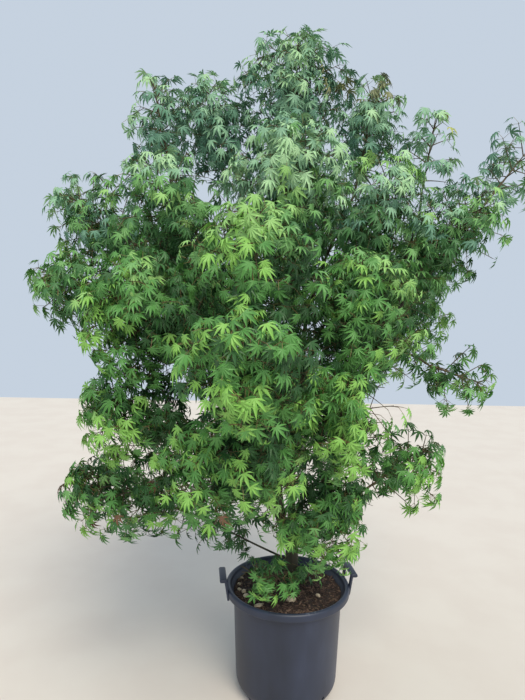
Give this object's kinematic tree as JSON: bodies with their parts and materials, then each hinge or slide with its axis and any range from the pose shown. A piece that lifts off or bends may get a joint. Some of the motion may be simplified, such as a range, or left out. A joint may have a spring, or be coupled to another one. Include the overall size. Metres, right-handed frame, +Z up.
{
  "type": "potted japanese maple",
  "caption": "Green Japanese maple with several stems from a low fork and a full rounded crown, standing in a round nursery pot with two strap handles.",
  "frame": {"origin": "centre of the flat underside of the pot, on the ground", "axes": "+Z up, +X to the right in the picture, +Y away from the viewer"},
  "size_m": [1.8296, 1.5896, 2.4277],
  "materials": {
    "plastic": "matt, scuffed",
    "compost": "rough, moist",
    "bark": "rough",
    "leaves": "satin"
  },
  "bodies": {
    "root": {"bough_back_left": "bark", "bough_back_low": "bark", "bough_back_right": "bark", "bough_centre_left": "bark", "bough_centre_right": "bark", "bough_front_centre": "bark", "bough_front_left": "bark", "bough_inner_left": "bark", "bough_left_tip": "bark", "bough_left_upper": "bark", "bough_low_front": "bark", "bough_low_right": "bark", "bough_mid_low_right": "bark", "bough_mid_right": "bark", "bough_peak_left": "bark", "bough_peak_right": "bark", "bough_right": "bark", "bough_right_droop": "bark", "bough_shoulder_right": "bark", "bough_upper_centre": "bark", "handle_left": "plastic", "handle_right": "plastic", "leaves_back_left": "leaves", "leaves_back_low": "leaves", "leaves_back_right": "leaves", "leaves_back_top": "leaves", "leaves_centre_left": "leaves", "leaves_centre_right": "leaves", "leaves_crown_top": "leaves", "leaves_far_right": "leaves", "leaves_front_centre": "leaves", "leaves_front_left": "leaves", "leaves_front_upper": "leaves", "leaves_inner_left": "leaves", "leaves_leader_left": "leaves", "leaves_left_tip": "leaves", "leaves_left_upper": "leaves", "leaves_low_centre": "leaves", "leaves_low_front": "leaves", "leaves_low_left": "leaves", "leaves_low_right": "leaves", "leaves_mid_low_right": "leaves", "leaves_mid_right": "leaves", "leaves_peak_left": "leaves", "leaves_peak_right": "leaves", "leaves_right": "leaves", "leaves_right_droop": "leaves", "leaves_shoulder_right": "leaves", "leaves_skirt": "leaves", "leaves_upper_centre": "leaves", "pot": "plastic", "soil": "compost", "stem_back": "bark", "stem_centre": "bark", "stem_front": "bark", "stem_left": "bark", "stem_low_left": "bark", "stem_right": "bark", "trunk": "bark"}
  },
  "joints": []
}
